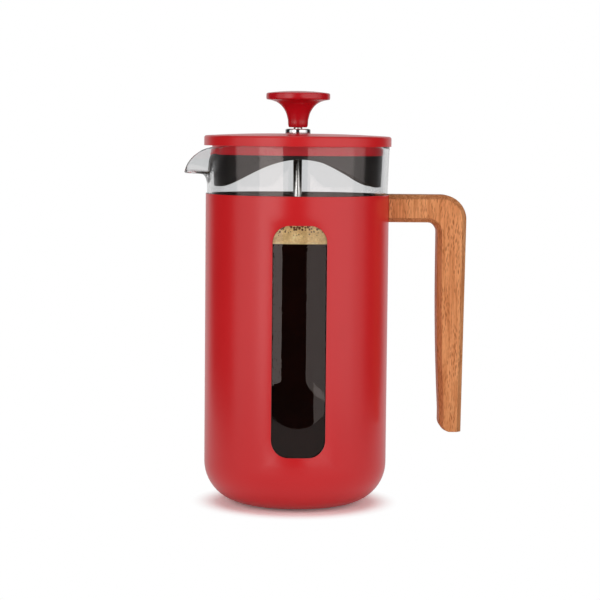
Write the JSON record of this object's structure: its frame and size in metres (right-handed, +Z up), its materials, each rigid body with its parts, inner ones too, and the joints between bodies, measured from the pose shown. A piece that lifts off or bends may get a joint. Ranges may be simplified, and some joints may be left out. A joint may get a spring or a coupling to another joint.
{
  "type": "french press",
  "caption": "Plunger coffee maker: glass beaker with a spout in a windowed painted metal sleeve, wooden side handle, domed lid with splash skirt, and a spring-edged filter on a knobbed rod.",
  "frame": {"origin": "centre of the base, on the surface it stands on", "axes": "+Z up, +X towards the handle, -X towards the spout, -Y towards the window"},
  "size_m": [0.1541, 0.102, 0.2255],
  "materials": {
    "pad_rubber": "matt",
    "sleeve_paint": "satin",
    "seat_silicone": "matt",
    "beech": "oiled",
    "screw_steel": "plain",
    "insert_brass": "plain",
    "beaker_glass": "clear",
    "lid_paint": "satin",
    "collar_plastic": "satin",
    "skirt_plastic": "satin",
    "bush_chrome": "polished",
    "washer_steel": "plain",
    "nut_steel": "polished",
    "knob_plastic": "satin",
    "knob_brass": "plain",
    "rod_steel": "polished",
    "filter_steel": "satin",
    "mesh_steel": "woven",
    "spring_steel": "coiled"
  },
  "bodies": {
    "holder": {"base_pad": "pad_rubber", "sleeve": "sleeve_paint", "beaker_seat": "seat_silicone", "handle": "beech", "handle_screws": "screw_steel", "handle_inserts": "insert_brass"},
    "beaker": {"glass_beaker": "beaker_glass"},
    "lid_hub": {"guide_bush": "bush_chrome", "bush_washer": "washer_steel", "bush_nut": "nut_steel"},
    "lid": {"lid_cover": "lid_paint", "lid_collar": "collar_plastic", "lid_skirt": "skirt_plastic"},
    "plunger": {"knob": "knob_plastic", "knob_insert": "knob_brass", "rod": "rod_steel", "hub_nut": "filter_steel", "cross_plate": "filter_steel", "filter_mesh": "mesh_steel", "filter_spring": "spring_steel", "spring_plate": "filter_steel"}
  },
  "joints": [
    {"name": "beaker_lift", "type": "slide", "parent": "holder", "child": "beaker", "axis": [0, 0, 1], "range_m": [0, 0.17]},
    {"name": "lid_lift", "type": "slide", "parent": "beaker", "child": "lid_hub", "axis": [0, 0, 1], "range_m": [0, 0.19]},
    {"name": "lid_turn", "type": "hinge", "parent": "lid_hub", "child": "lid", "pos_m": [0, 0, 0.2], "axis": [0, 0, 1], "continuous": true},
    {"name": "plunger_slide", "type": "slide", "parent": "lid_hub", "child": "plunger", "axis": [0, 0, 1], "range_m": [0, 0.14]}
  ]
}
